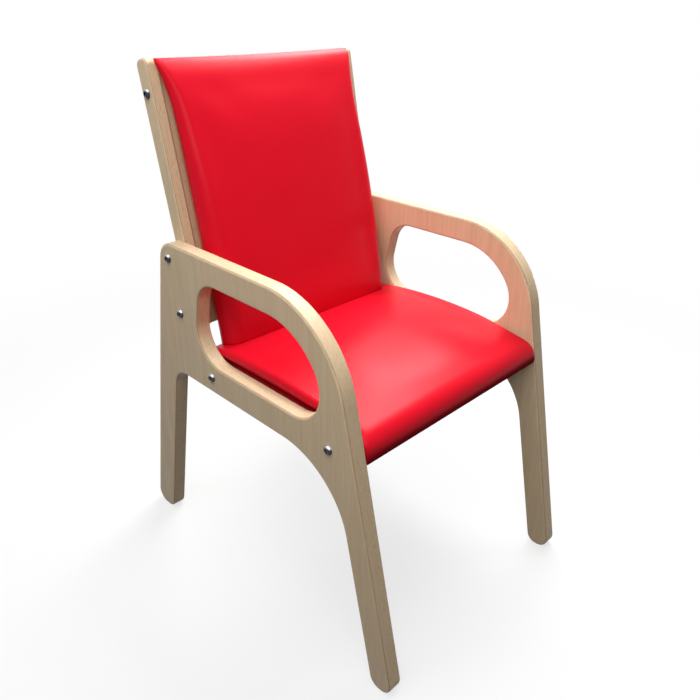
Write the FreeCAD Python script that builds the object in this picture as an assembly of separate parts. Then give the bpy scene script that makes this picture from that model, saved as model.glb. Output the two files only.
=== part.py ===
import FreeCAD, Part
import math
import os

# School armchair. Millimetres, +Z up, the chair faces -Y, the sitter's right is -X.
# Side views use (forward, up), where forward runs from the foot of the rear edge.
V = FreeCAD.Vector

# Side frames, each one sheet of plywood
WIDTH = 450.0
FRAME_PLY = 25.0
ARM_TOP = 570.0
RIM = 40.0
FOOT_SPAN = 633.0
REAR_RAKE = 13.3
FRONT_RAKE = 12.4
REAR_LEG = 52.0
REAR_PANEL = 103.0
RAIL_LOW = 348.0
RAIL_DEPTH = 48.0
ARM_FRONT_R = 148.0
ARM_REAR_R = 33.0
ARCH_FRONT_R = 128.0
ARCH_REAR_R = 40.0
WINDOW_REAR_TOP_R = 46.0
WINDOW_REAR_LOW_R = 54.0
WINDOW_FRONT_LOW_R = 55.0
REAR_FOOT_R = 22.0
FRONT_FOOT_R = 19.0
EDGE_ROUND = 3.5

# Back posts, cleats and rails
RECLINE = 11.3
POST_PLY = 18.0
POST_DEPTH = 28.0
POST_BELOW = 27.0
POST_LENGTH = 393.0
POST_TOP_R = 10.0
CLEAT_PLY = 12.0
CLEAT_SETBACK = 3.0
CLEAT_LENGTH = 384.0
BACK_RAIL_PLY = 25.0
BACK_RAIL_HEIGHT = 50.0
SMALL_ROUND = 2.5

# Bolt positions
BACK_BOLT_FORWARD = 171.7
BACK_BOLT_Z = 460.5
FRAME_BOLT_PITCH = 87.5
POST_BOLT_RISE = 319.6
SEAT_BOLT_REAR = 243.4
SEAT_BOLT_FRONT_INSET = 45.0
SEAT_BOLT_RISE = 27.5

# M8 button-head bolts and barrel nuts
BOLT_D = 8.0
HEAD_D = 14.0
HEAD_H = 4.4
HEAD_FLAT_D = 7.0
HEAD_BULGE = 0.9
SOCKET_AF = 5.0
SOCKET_DEPTH = 2.6
BOLT_PLAY = 0.3
THREAD_PLAY = 0.05
NUT_D = 10.0
NUT_LENGTH = 18.0
NUT_SLOT = 1.6
NUT_INSET = 30.0
BOLT_PAST_NUT = 6.0

# Dowels, screws and staples
DOWEL_D = 8.0
DOWEL_IN_CLEAT = 10.0
DOWEL_IN_RAIL = 15.0
DOWEL_OFFSET = 16.0
SCREW_D = 4.0
SCREW_HEAD_D = 8.0
SCREW_HEAD_H = 2.6
CLEAT_SCREW_LENGTH = 25.0
BOARD_SCREW_BITE = 7.0
BOARD_SCREW_X = 100.0
STAPLE_CROWN = 10.0
STAPLE_WIRE = 0.6
STAPLE_LEG = 7.0
STAPLE_PITCH = 50.0
STAPLE_INSET = 18.0

# Upholstery
VINYL = 1.0
LINING = 0.6
FLAP = 30.0
LINING_INSET = 12.0
PAD_GAP = 2.2
BOARD_WRAP = 4.0

# Seat cushion, side view
SEAT_BOARD = 25.0
SEAT_SIDE_GAP = 0.5
SEAT_REAR = 191.0
SEAT_OVERHANG = 0.6
SEAT_NOSE = 5.0
SEAT_CORNER_INSET = 12.0
SEAT_CROWN = 36.0
SEAT_REAR_DROP = 20.0
SEAT_FRONT_DROP = 14.0
SEAT_FRONT_ROLL = 20.0
SEAT_SIDE_ROLL = 9.0
SEAT_WALL = 3.0
SEAT_SIDE_CROWN = 0.55
SEAT_ROLL_CROWN = 0.85

# Back cushion
BACK_BOARD = 9.0
BACK_TOP = 363.5
BACK_DEPTH = 50.0
BACK_SIDE_GAP = 2.0
BACK_FLARE = 18.0
BACK_CROWN = 4.0
BACK_BULGE = 13.0
BACK_BOARD_DROP = 16.0
# (share of the height, share of the flare, share of the depth)
BACK_SECTIONS = [
    (0.0, 0.05, 0.78),
    (0.06, 0.0, 0.94),
    (0.24, 0.0, 0.98),
    (0.48, 0.0, 0.9),
    (0.66, 0.02, 0.76),
    (0.8, 0.08, 0.58),
    (0.88, 0.25, 0.47),
    (0.94, 0.56, 0.37),
    (0.98, 0.86, 0.24),
    (1.0, 1.0, 0.09),
]

SIDES = (-1, 1)
OUTER_X = WIDTH / 2
INNER_X = OUTER_X - FRAME_PLY
POST_X = INNER_X - POST_PLY
CLEAT_X = POST_X - CLEAT_PLY
RAIL_HIGH = RAIL_LOW + RAIL_DEPTH
SEAT_BOLT_Z = RAIL_LOW + SEAT_BOLT_RISE
SEAT_LOW = SEAT_BOLT_Z - SEAT_BOARD / 2 - VINYL
SEAT_X = INNER_X - SEAT_SIDE_GAP


def lean(angle):
    return math.tan(math.radians(angle))


def slant(width, angle):
    """Level width of a strip that is this wide, square to its raked edge."""
    return width / math.cos(math.radians(angle))


def foot_inset(radius, rake):
    """How far a rounded foot stays inside the floor corner of its raked edge."""
    turn = math.radians(rake)
    return radius * ((1 + math.sin(turn)) / math.cos(turn) - 1)


REARMOST = foot_inset(REAR_FOOT_R, REAR_RAKE)
FOREMOST = FOOT_SPAN - foot_inset(FRONT_FOOT_R, FRONT_RAKE)
MID = (REARMOST + FOREMOST) / 2


def at(forward, up, x=0.0):
    return V(x, MID - forward, up)


def rear_edge(up, inset=0.0):
    return lean(REAR_RAKE) * up + slant(inset, REAR_RAKE)


def front_edge(up, inset=0.0):
    return FOOT_SPAN - lean(FRONT_RAKE) * up - slant(inset, FRONT_RAKE)


def line(a, b):
    return Part.LineSegment(a, b).toShape()


def arc(a, b, c):
    return Part.Arc(a, b, c).toShape()


def corner_arc(before, corner, after, radius):
    """Start, middle and end of the arc that rounds a corner."""
    one = (before - corner).normalize()
    two = (after - corner).normalize()
    half = one.getAngle(two) / 2
    reach = radius / math.tan(half)
    middle = (one + two).normalize() * (radius / math.sin(half) - radius)
    return corner + one * reach, corner + middle, corner + two * reach


def rounded_wire(corners):
    """Closed outline of straight sides with rounded corners: (point, radius) pairs."""
    count = len(corners)
    arcs = []
    for i, (corner, radius) in enumerate(corners):
        before = corners[i - 1][0]
        after = corners[(i + 1) % count][0]
        arcs.append(corner_arc(before, corner, after, radius))
    edges = []
    for i, (start, middle, end) in enumerate(arcs):
        edges.append(line(arcs[i - 1][2], start))
        edges.append(arc(start, middle, end))
    return Part.Wire(edges)


def extruded(wire, way):
    return Part.Face(wire).extrude(way)


def rod(start, way, diameter, length):
    return Part.makeCylinder(diameter / 2, length, start, way)


def box(low, high):
    size = high - low
    return Part.makeBox(size.x, size.y, size.z, low)


def with_round_faces(solid, radius):
    """Rounds the edges that lie flat in the two faces square to X."""
    edges = [e for e in solid.Edges if e.BoundBox.XLength < 0.01]
    return solid.makeFillet(radius, edges)


def cut_all(solid, tools):
    for tool in tools:
        solid = solid.cut(tool)
    return solid


# Side frames

def frame_wire(x):
    top = ARM_TOP
    return rounded_wire([
        (at(rear_edge(0), 0, x), REAR_FOOT_R),
        (at(rear_edge(top), top, x), ARM_REAR_R),
        (at(front_edge(top), top, x), ARM_FRONT_R),
        (at(front_edge(0), 0, x), FRONT_FOOT_R),
        (at(front_edge(0, RIM), 0, x), FRONT_FOOT_R),
        (at(front_edge(RAIL_LOW, RIM), RAIL_LOW, x), ARCH_FRONT_R),
        (at(rear_edge(RAIL_LOW, REAR_LEG), RAIL_LOW, x), ARCH_REAR_R),
        (at(rear_edge(0, REAR_LEG), 0, x), REAR_FOOT_R),
    ])


def window_wire(x):
    """D-shaped arm window: its front follows the arm, then a tighter arc meets the bottom."""
    top = ARM_TOP - RIM
    big_r = ARM_FRONT_R - RIM
    small_r = WINDOW_FRONT_LOW_R
    centre = arm_centre()
    drop = RAIL_HIGH + small_r - centre[1]
    small = (centre[0] + math.sqrt((big_r - small_r) ** 2 - drop ** 2), RAIL_HIGH + small_r)
    meet_turn = math.atan2(drop, small[0] - centre[0])

    def on_arc(c, r, turn):
        return at(c[0] + r * math.cos(turn), c[1] + r * math.sin(turn), x)

    low_end = at(small[0], RAIL_HIGH, x)
    meet = on_arc(small, small_r, meet_turn)
    top_end = at(centre[0], top, x)
    rear_top = at(rear_edge(top, REAR_PANEL), top, x)
    rear_low = at(rear_edge(RAIL_HIGH, REAR_PANEL), RAIL_HIGH, x)
    upper = corner_arc(top_end, rear_top, rear_low, WINDOW_REAR_TOP_R)
    lower = corner_arc(rear_top, rear_low, low_end, WINDOW_REAR_LOW_R)
    return Part.Wire([
        arc(low_end, on_arc(small, small_r, (meet_turn - math.pi / 2) / 2), meet),
        arc(meet, on_arc(centre, big_r, (meet_turn + math.pi / 2) / 2), top_end),
        line(top_end, upper[0]),
        arc(*upper),
        line(upper[2], lower[0]),
        arc(*lower),
        line(lower[2], low_end),
    ])


def arm_centre():
    """Centre of the arm's front curve, as (forward, up)."""
    up = ARM_TOP - ARM_FRONT_R
    return front_edge(up, ARM_FRONT_R), up


def side_frame(side):
    x = side * INNER_X
    way = V(side * FRAME_PLY, 0, 0)
    sheet = extruded(frame_wire(x), way).cut(extruded(window_wire(x), way))
    sheet = with_round_faces(sheet, EDGE_ROUND)
    holes = [bolt_hole(side, p) for p in seat_bolt_points() + frame_bolt_points()]
    return cut_all(sheet, holes)


# Bolts and nuts

def leaned(shape):
    """Places a back piece that was made upright: its bolt line stands at y = POST_DEPTH / 2."""
    shape = shape.copy()
    shape.translate(V(0, -POST_DEPTH / 2, 0))
    shape.rotate(V(0, 0, 0), V(1, 0, 0), -RECLINE)
    shape.translate(at(BACK_BOLT_FORWARD, BACK_BOLT_Z))
    return shape


def lean_point(x, y, up):
    return leaned(Part.Vertex(x, y, up)).Point


def seat_bolt_points():
    front = front_edge(SEAT_BOLT_Z) - SEAT_BOLT_FRONT_INSET
    return [at(forward, SEAT_BOLT_Z) for forward in (SEAT_BOLT_REAR, front)]


def frame_bolt_points():
    return [lean_point(0, POST_DEPTH / 2, up) for up in (0, FRAME_BOLT_PITCH)]


def post_bolt_points():
    return [lean_point(0, POST_DEPTH / 2, POST_BOLT_RISE)]


def bolt_hole(side, point):
    """Clearance hole from outside the chair towards its middle."""
    start = V(side * WIDTH, point.y, point.z)
    return rod(start, V(-side, 0, 0), BOLT_D + 2 * BOLT_PLAY, WIDTH - nut_x(point) + 2 * BOLT_PAST_NUT)


def nut_x(point):
    """Distance of the barrel nut from the chair's middle plane."""
    in_seat = abs(point.z - SEAT_BOLT_Z) < SEAT_BOARD / 2
    return (SEAT_X - VINYL if in_seat else CLEAT_X) - NUT_INSET - NUT_D / 2


def button_bolt(side, point, head_x):
    """Button-head bolt with its head on the face at head_x, pointing to the middle."""
    reach = head_x - nut_x(point) + BOLT_PAST_NUT
    rim = V(HEAD_D / 2, 0, 0)
    brow = V(HEAD_FLAT_D / 2, 0, HEAD_H)
    top = V(0, 0, HEAD_H)
    out = V(HEAD_H, 0, (HEAD_D - HEAD_FLAT_D) / 2).normalize()
    dome = arc(brow, (brow + rim) / 2 + out * HEAD_BULGE, rim)
    profile = Part.Wire([line(V(0, 0, 0), top), line(top, brow), dome, line(rim, V(0, 0, 0))])
    head = Part.Face(profile).revolve(V(0, 0, 0), V(0, 0, 1), 360)
    corners = [V(SOCKET_AF / 2 / math.cos(math.pi / 6), 0, HEAD_H)]
    turn = FreeCAD.Rotation(V(0, 0, 1), 60)
    for _ in range(6):
        corners.append(turn.multVec(corners[-1]))
    socket = extruded(Part.makePolygon(corners), V(0, 0, -SOCKET_DEPTH))
    bolt = head.cut(socket).fuse(rod(V(0, 0, 0), V(0, 0, -1), BOLT_D, reach))
    bolt = bolt.removeSplitter()
    bolt.rotate(V(0, 0, 0), V(0, 1, 0), side * 90)
    bolt.translate(V(side * head_x, point.y, point.z))
    return bolt


def nut_seat(side, point, way, open_end):
    """Round pocket for a barrel nut, from its open end across the bolt."""
    start = V(side * nut_x(point), point.y, point.z) + way * open_end
    return rod(start, way * -1, NUT_D, open_end + NUT_LENGTH / 2)


def barrel_nut(side, point, way):
    """Slotted cross dowel whose thread takes the bolt."""
    centre = V(side * nut_x(point), point.y, point.z)
    body = rod(centre - way * (NUT_LENGTH / 2), way, NUT_D, NUT_LENGTH)
    thread = rod(centre - V(NUT_D, 0, 0), V(1, 0, 0), BOLT_D + 2 * THREAD_PLAY, 2 * NUT_D)
    slot = Part.makeBox(2 * NUT_D, NUT_SLOT, NUT_SLOT, V(-NUT_D, -NUT_SLOT / 2, -NUT_SLOT))
    turn = FreeCAD.Rotation(V(0, 0, 1), way)
    slot.Placement = FreeCAD.Placement(centre + way * (NUT_LENGTH / 2), turn)
    return body.cut(thread).cut(slot)


def back_way():
    """Direction square out of the rear of the leaning back."""
    return lean_point(0, 1, 0) - lean_point(0, 0, 0)


# Posts, cleats and rails, made upright with their front plane at y = 0

def strip(side, x_in, x_out, y_front, y_rear, low, high, top_r):
    x = side * x_in
    wire = rounded_wire([
        (V(x, y_front, low), SMALL_ROUND),
        (V(x, y_rear, low), SMALL_ROUND),
        (V(x, y_rear, high), top_r),
        (V(x, y_front, high), top_r),
    ])
    return extruded(wire, V(side * (x_out - x_in), 0, 0))


def post(side):
    low = -POST_BELOW
    piece = strip(side, POST_X, INNER_X, 0, POST_DEPTH, low, low + POST_LENGTH, POST_TOP_R)
    piece = leaned(with_round_faces(piece, SMALL_ROUND))
    holes = [bolt_hole(side, p) for p in frame_bolt_points() + post_bolt_points()]
    return cut_all(piece, holes + cleat_screw_list(side))


def cleat(side):
    low = -POST_BELOW
    piece = strip(side, CLEAT_X, POST_X, CLEAT_SETBACK, POST_DEPTH - CLEAT_SETBACK,
                  low, low + CLEAT_LENGTH, SMALL_ROUND)
    holes = [bolt_hole(side, p) for p in frame_bolt_points() + post_bolt_points()]
    return cut_all(leaned(piece), holes + cleat_screw_list(side) + dowel_list(side))


def rail_levels():
    return [0, FRAME_BOLT_PITCH, POST_BOLT_RISE]


def rail(level):
    half = BACK_RAIL_HEIGHT / 2
    bar = box(V(-CLEAT_X, 0, level - half), V(CLEAT_X, BACK_RAIL_PLY, level + half))
    long_edges = [e for e in bar.Edges if e.BoundBox.XLength > 1 and e.BoundBox.YMin > 1]
    bar = leaned(bar.makeFillet(SMALL_ROUND, long_edges))
    point = lean_point(0, POST_DEPTH / 2, level)
    way = back_way()
    tools = board_screw_list()
    for side in SIDES:
        tools = tools + dowel_list(side)
        tools.append(bolt_hole(side, point))
        tools.append(nut_seat(side, point, way, POST_DEPTH))
    return cut_all(bar, tools)


def dowel_list(side):
    dowels = []
    for level in rail_levels():
        start = lean_point(side * (CLEAT_X - DOWEL_IN_RAIL), POST_DEPTH / 2, level + DOWEL_OFFSET)
        dowels.append(rod(start, V(side, 0, 0), DOWEL_D, DOWEL_IN_RAIL + DOWEL_IN_CLEAT))
    return dowels


def wood_screw(head_rise, length):
    """Screw along +Z from its head, whose outer face lies head_rise above the origin."""
    shank = rod(V(0, 0, 0), V(0, 0, 1), SCREW_D, length - SCREW_D)
    tip = Part.makeCone(SCREW_D / 2, SCREW_D / 8, SCREW_D, V(0, 0, length - SCREW_D), V(0, 0, 1))
    if head_rise > 0:
        head = rod(V(0, 0, -head_rise), V(0, 0, 1), SCREW_HEAD_D, head_rise)
    else:
        head = Part.makeCone(SCREW_HEAD_D / 2, SCREW_D / 2, SCREW_HEAD_H, V(0, 0, 0), V(0, 0, 1))
    return shank.fuse(tip).fuse(head).removeSplitter()


def cleat_screw_list(side):
    """Countersunk screws from the cleat's inner face into the post, between the rails."""
    levels = rail_levels()
    screws = []
    for share in (0.3, 0.7):
        up = levels[1] + share * (levels[2] - levels[1])
        screw = wood_screw(0, CLEAT_SCREW_LENGTH)
        screw.rotate(V(0, 0, 0), V(0, 1, 0), side * 90)
        screw.translate(lean_point(side * CLEAT_X, POST_DEPTH / 2, up))
        screws.append(screw)
    return screws


def board_screw_list():
    """Pan-head screws from behind each rail into the back board."""
    length = BACK_RAIL_PLY + LINING + VINYL + BOARD_SCREW_BITE
    screws = []
    for level in rail_levels():
        for side in SIDES:
            screw = wood_screw(SCREW_HEAD_H, length)
            screw.rotate(V(0, 0, 0), V(1, 0, 0), 90)
            screw.translate(V(side * BOARD_SCREW_X, BACK_RAIL_PLY, level))
            screws.append(leaned(screw))
    return screws


# Upholstery

def staple(centre, along, inward):
    """Wire staple whose crown lies along one way and whose legs point inward."""
    across = along.cross(inward)
    crown = Part.makeBox(STAPLE_CROWN, STAPLE_WIRE, STAPLE_WIRE, V(-STAPLE_CROWN / 2, -STAPLE_WIRE / 2, 0))
    for x in (-STAPLE_CROWN / 2, STAPLE_CROWN / 2 - STAPLE_WIRE):
        leg = Part.makeBox(STAPLE_WIRE, STAPLE_WIRE, STAPLE_LEG, V(x, -STAPLE_WIRE / 2, 0))
        crown = crown.fuse(leg)
    crown = crown.removeSplitter()
    turn = FreeCAD.Rotation(along, across, inward, "ZXY")
    crown.Placement = FreeCAD.Placement(centre, turn)
    return crown


def spaced(low, high):
    """Evenly spaced values across a span, ends included."""
    count = max(2, round((high - low) / STAPLE_PITCH) + 1)
    return [low + i * (high - low) / (count - 1) for i in range(count)]


def seat_front():
    """How far forward the seat's nose stands, just past the front edge of the frames."""
    return front_edge(SEAT_LOW) + SEAT_OVERHANG


def seat_section(x, share, shrink):
    """Side outline of the seat cushion at one x; share of the full crown reached there."""
    low = SEAT_LOW + shrink
    board_top = SEAT_LOW + VINYL + SEAT_BOARD
    wall = board_top + SEAT_WALL

    def rise(full):
        return wall + (board_top + full - wall) * share - shrink

    rear = SEAT_REAR + shrink
    front = seat_front() - SEAT_CORNER_INSET * (1 - share)
    foot = at(seat_front() - SEAT_NOSE - shrink, low, x)
    brow = at(front - SEAT_NOSE - SEAT_FRONT_ROLL, rise(SEAT_CROWN - SEAT_FRONT_DROP), x)
    nose = at(front - shrink, (foot.z + brow.z) / 2, x)
    rear_low = at(rear, low, x)
    rear_top = at(rear, rise(SEAT_CROWN - SEAT_REAR_DROP), x)
    middle = at((rear + front) / 2, rise(SEAT_CROWN), x)
    return Part.Wire([
        line(rear_low, foot),
        arc(foot, nose, brow),
        arc(brow, middle, rear_top),
        line(rear_top, rear_low),
    ])


def seat_form(shrink):
    """Seat cushion: a crowned middle and rolled sides, section by section across the chair."""
    half = SEAT_X - shrink
    inside = half - SEAT_SIDE_ROLL
    stations = []
    for turn in (0, 30, 60):
        angle = math.radians(turn)
        rise = SEAT_SIDE_CROWN + (SEAT_ROLL_CROWN - SEAT_SIDE_CROWN) * math.sin(angle)
        stations.append((half - SEAT_SIDE_ROLL * (1 - math.cos(angle)), rise))
    for share in (1.0, 0.75, 0.5, 0.25):
        stations.append((share * inside, 1 - (1 - SEAT_ROLL_CROWN) * share ** 2))
    across = [(-x, rise) for x, rise in stations] + [(0.0, 1.0)]
    across = across + [(x, rise) for x, rise in reversed(stations)]
    return Part.makeLoft([seat_section(x, rise, shrink) for x, rise in across], True, True)


def seat_slab():
    """Room for the seat board, whose straight front edge leaves the nose to the foam."""
    low = SEAT_LOW + VINYL
    front = seat_edges(BOARD_WRAP)[1]
    return box(V(-WIDTH, front, low), V(WIDTH, FOOT_SPAN, low + SEAT_BOARD))


def seat_edges(inset):
    """Rear and front y of the cushion's underside, brought in by an inset."""
    rear = MID - SEAT_REAR - inset
    front = MID - (seat_front() - SEAT_NOSE) + inset
    return rear, front


def flat_sheet(x, y_low, y_high, z_low, z_high):
    return box(V(-x, y_low, z_low), V(x, y_high, z_high))


def seat_lining_sheet():
    rear, front = seat_edges(LINING_INSET)
    return flat_sheet(SEAT_X - LINING_INSET, front, rear, SEAT_LOW - LINING, SEAT_LOW)


def seat_staple_list():
    rear, front = seat_edges(STAPLE_INSET)
    side_x = SEAT_X - STAPLE_INSET
    up = V(0, 0, 1)
    low = SEAT_LOW - LINING
    staples = []
    for y in spaced(front + STAPLE_PITCH / 2, rear - STAPLE_PITCH / 2):
        for x in (-side_x, side_x):
            staples.append(staple(V(x, y, low), V(0, 1, 0), up))
    for x in spaced(STAPLE_PITCH / 2 - side_x, side_x - STAPLE_PITCH / 2):
        for y in (front, rear):
            staples.append(staple(V(x, y, low), V(1, 0, 0), up))
    return staples


def seat_cover(outer, inner, tools):
    rear, front = seat_edges(FLAP)
    opening = flat_sheet(SEAT_X - FLAP, front, rear, SEAT_LOW - VINYL, SEAT_LOW + 2 * VINYL)
    return cut_all(outer.cut(inner).cut(opening), tools)


def back_low():
    """Lower end of the back cushion along the posts, just clear of the seat."""
    seat_rear_top = SEAT_LOW + VINYL + SEAT_BOARD + SEAT_CROWN - SEAT_REAR_DROP
    rise = seat_rear_top + PAD_GAP - lean_point(0, 0, 0).z
    return rise / math.cos(math.radians(RECLINE))


def back_section(up, flare, depth, shrink):
    """Level outline of the upright back cushion: rear line, bulging rolled sides, crowned front."""
    half = CLEAT_X - BACK_SIDE_GAP + flare * BACK_FLARE - shrink
    rear = LINING + shrink
    edge = LINING + BACK_DEPTH * depth - shrink
    bulge = BACK_BULGE * depth
    thick = edge - rear
    roll = bulge + thick - math.sqrt(2 * bulge * thick)
    inside = half + bulge - roll
    turn = (math.pi / 2 + math.atan2(rear - edge + roll, half - inside)) / 2
    middle = (inside + roll * math.cos(turn), edge - roll + roll * math.sin(turn))

    def on(x, forward):
        return V(x, -forward, up)

    return Part.Wire([
        line(on(-half, rear), on(half, rear)),
        arc(on(half, rear), on(*middle), on(inside, edge)),
        arc(on(inside, edge), on(0, edge + BACK_CROWN * depth), on(-inside, edge)),
        arc(on(-inside, edge), on(-middle[0], middle[1]), on(-half, rear)),
    ])


def back_form(shrink):
    low = back_low() + shrink
    high = BACK_TOP - shrink
    sections = []
    for share, flare, depth in BACK_SECTIONS:
        sections.append(back_section(low + share * (high - low), flare, depth, shrink))
    return Part.makeLoft(sections, True, False, False, 3)


def back_slab():
    """The back board, with room for foam round its edges and under the top roll."""
    near = LINING + VINYL
    return back_sheet(VINYL + BOARD_WRAP, -near - BACK_BOARD, -near, BACK_BOARD_DROP)


def back_sheet(inset, y_low, y_high, drop=None):
    """Sheet in the back's plane, brought in from the cushion's edges, or further from its top."""
    x = CLEAT_X - BACK_SIDE_GAP - inset
    high = BACK_TOP - (inset if drop is None else drop)
    return box(V(-x, y_low, back_low() + inset), V(x, y_high, high))


def back_staple_list():
    x_side = CLEAT_X - BACK_SIDE_GAP - STAPLE_INSET
    low = back_low() + STAPLE_INSET
    high = BACK_TOP - STAPLE_INSET
    forward = V(0, -1, 0)
    staples = []
    for up in spaced(low + STAPLE_PITCH / 2, high - STAPLE_PITCH / 2):
        for x in (-x_side, x_side):
            staples.append(staple(V(x, 0, up), V(0, 0, 1), forward))
    for x in spaced(STAPLE_PITCH / 2 - x_side, x_side - STAPLE_PITCH / 2):
        for up in (low, high):
            staples.append(staple(V(x, 0, up), V(1, 0, 0), forward))
    return staples


def add_frames(nodes):
    for name, side in (("right", -1), ("left", 1)):
        nodes["side_frame_" + name] = side_frame(side)
        nodes["back_post_" + name] = post(side)
        nodes["back_cleat_" + name] = cleat(side)
    for name, level in zip(("lower", "middle", "upper"), rail_levels()):
        nodes["back_" + name + "_rail"] = rail(level)


def add_fasteners(nodes):
    groups = [
        ("seat_bolts", seat_bolt_points(), OUTER_X),
        ("frame_bolts", frame_bolt_points(), OUTER_X),
        ("post_bolts", post_bolt_points(), INNER_X),
    ]
    for name, points, head_x in groups:
        bolts = [button_bolt(side, p, head_x) for side in SIDES for p in points]
        nodes[name] = Part.makeCompound(bolts)
    up = V(0, 0, 1)
    seat_nuts = [barrel_nut(side, p, up * -1) for side in SIDES for p in seat_bolt_points()]
    rail_points = frame_bolt_points() + post_bolt_points()
    rail_nuts = [barrel_nut(side, p, back_way()) for side in SIDES for p in rail_points]
    nodes["seat_barrel_nuts"] = Part.makeCompound(seat_nuts)
    nodes["rail_barrel_nuts"] = Part.makeCompound(rail_nuts)
    nodes["rail_dowels"] = Part.makeCompound(dowel_list(-1) + dowel_list(1))
    nodes["cleat_screws"] = Part.makeCompound(cleat_screw_list(-1) + cleat_screw_list(1))
    nodes["board_screws"] = Part.makeCompound(board_screw_list())


def add_seat(nodes):
    outer = seat_form(0)
    inner = seat_form(VINYL)
    staples = Part.makeCompound(seat_staple_list())
    bolts = [bolt_hole(side, p) for side in SIDES for p in seat_bolt_points()]
    down = V(0, 0, -1)
    pockets = [nut_seat(side, p, down, SEAT_BOARD) for side in SIDES for p in seat_bolt_points()]
    nodes["seat_board"] = cut_all(inner.common(seat_slab()), bolts + pockets + [staples])
    nodes["seat_foam"] = inner.cut(seat_slab())
    nodes["seat_cover"] = seat_cover(outer, inner, bolts + [staples])
    nodes["seat_lining"] = seat_lining_sheet().cut(staples)
    nodes["seat_staples"] = staples


def add_back(nodes):
    outer = back_form(0)
    inner = back_form(VINYL)
    staples = Part.makeCompound(back_staple_list())
    screws = board_screw_list()
    opening = back_sheet(FLAP, -LINING - 2 * VINYL, VINYL)
    cover = outer.cut(inner).cut(opening).cut(staples)
    nodes["back_board"] = cut_all(leaned(inner.common(back_slab()).cut(staples)), screws)
    nodes["back_foam"] = leaned(inner.cut(back_slab()))
    nodes["back_cover"] = leaned(cover)
    nodes["back_lining"] = cut_all(leaned(back_sheet(LINING_INSET, -LINING, 0).cut(staples)), screws)
    nodes["back_staples"] = leaned(staples)


def main():
    nodes = {}
    add_frames(nodes)
    add_fasteners(nodes)
    add_seat(nodes)
    add_back(nodes)
    os.makedirs("parts", exist_ok=True)
    for name, shape in nodes.items():
        shape.exportStep("parts/" + name + ".step")


main()
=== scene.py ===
import cmath
import math

import bmesh
import bpy
from bpy.props import FloatProperty, FloatVectorProperty, IntProperty, PointerProperty
from mathutils import Matrix, Vector


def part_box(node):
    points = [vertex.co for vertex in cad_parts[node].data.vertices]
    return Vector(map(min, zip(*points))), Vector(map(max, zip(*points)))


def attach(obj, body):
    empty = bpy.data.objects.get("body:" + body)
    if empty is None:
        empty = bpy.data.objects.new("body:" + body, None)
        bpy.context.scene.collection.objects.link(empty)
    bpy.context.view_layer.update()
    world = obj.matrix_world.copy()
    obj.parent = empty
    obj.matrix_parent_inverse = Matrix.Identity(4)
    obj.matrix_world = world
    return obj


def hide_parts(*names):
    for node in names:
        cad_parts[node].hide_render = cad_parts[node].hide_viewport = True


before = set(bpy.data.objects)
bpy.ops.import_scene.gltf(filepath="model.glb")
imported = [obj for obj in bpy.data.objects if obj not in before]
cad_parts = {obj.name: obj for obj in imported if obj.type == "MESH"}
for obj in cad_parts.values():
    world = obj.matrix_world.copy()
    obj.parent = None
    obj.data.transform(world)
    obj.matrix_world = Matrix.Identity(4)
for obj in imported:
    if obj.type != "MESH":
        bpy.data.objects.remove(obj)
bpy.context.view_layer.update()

bl_info = {
    "name": "School Armchair",
    "version": (1, 0, 0),
    "blender": (4, 5, 0),
    "location": "3D View > Sidebar > Chair",
    "description": "Finishes a plywood school armchair and upholsters its seat and back",
    "category": "Add Mesh",
}

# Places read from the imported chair, in metres: +X is the sitter's left and -Y is the front
FRAME_LOW, FRAME_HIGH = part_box("side_frame_left")
POST_LOW, POST_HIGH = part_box("back_post_left")
CLEAT_LOW, CLEAT_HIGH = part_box("back_cleat_left")
SEAT_LOW, SEAT_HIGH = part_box("seat_cover")
SEAT_BOARD_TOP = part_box("seat_board")[1].z
BOLT_HEAD_RADIUS = 0.007
BACK_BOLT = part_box("frame_bolts")[0] + Vector((0, BOLT_HEAD_RADIUS, BOLT_HEAD_RADIUS))
RECLINE = math.radians(11.3)
POST_DEPTH = 0.028
RAIL_DEPTH = 0.025
BACK_REAR = 0.0006  # the cushion's rear, in front of the posts' front
BACK_LIFT = (POST_DEPTH / 2 + BACK_REAR) * math.sin(RECLINE)
BACK_DROP = (BACK_BOLT.z + BACK_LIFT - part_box("back_cover")[0].z) / math.cos(RECLINE)
BACK_HANG = 0.003  # how much lower the padding hangs than its solid
BACK_SIDE_GAP = 0.002  # room to each cleat

# Camera fitted to the photograph: place and axes in the chair's frame, lens and sensor in millimetres
CAMERA_PLACE = (-0.708264, -0.711496, 0.894371)
CAMERA_RIGHT = (0.71008, -0.704096, 0.00592)
CAMERA_DOWN = (-0.322526, -0.332718, -0.886158)
CAMERA_AHEAD = (0.62591, 0.627334, -0.463346)
CAMERA_LENS = 34.49
CAMERA_SENSOR = 36.0

# Stage: soft boxes as place, target, and width and height, in metres
LAMPS = {
    "top": ((-0.6, -0.1, 1.75), (-0.1, -0.05, 0.55), (1.2, 1.2)),
    "side": ((0.8, 0.0, 1.92), (-0.05, -0.05, 0.5), (0.9, 0.45)),
    "rear": ((0.84, 0.55, 1.58), (-0.08, -0.16, 0.42), (1.1, 0.62)),
    "front": ((-0.9, -1.0, 1.4), (0.0, -0.1, 0.4), (0.9, 0.6)),
}
FLOOR_SIZE = 24.0
WHITE = (1.0, 1.0, 1.0, 1.0)

# Blocks that the cushions are pulled from: cuts across, to the rear and upwards, and the sides with a
# hard edge round them, each an axis and a sign
SEAT_CUTS = (66, 60, 14)
SEAT_HARD_SIDES = {(2, -1)}
BACK_CUTS = (58, 8, 68)
BACK_HARD_SIDES = {(2, -1), (1, 1)}
HARD_EDGE = 0.8  # crease of those edges under subdivision
ON_SIDE = 0.999  # from here on a point of the block lies on its side
ALONG_AXIS = 0.9  # share of an edge's length from which it runs along an axis
STRAIGHT = 1e-6  # bend under which an arc is a straight line

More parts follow.
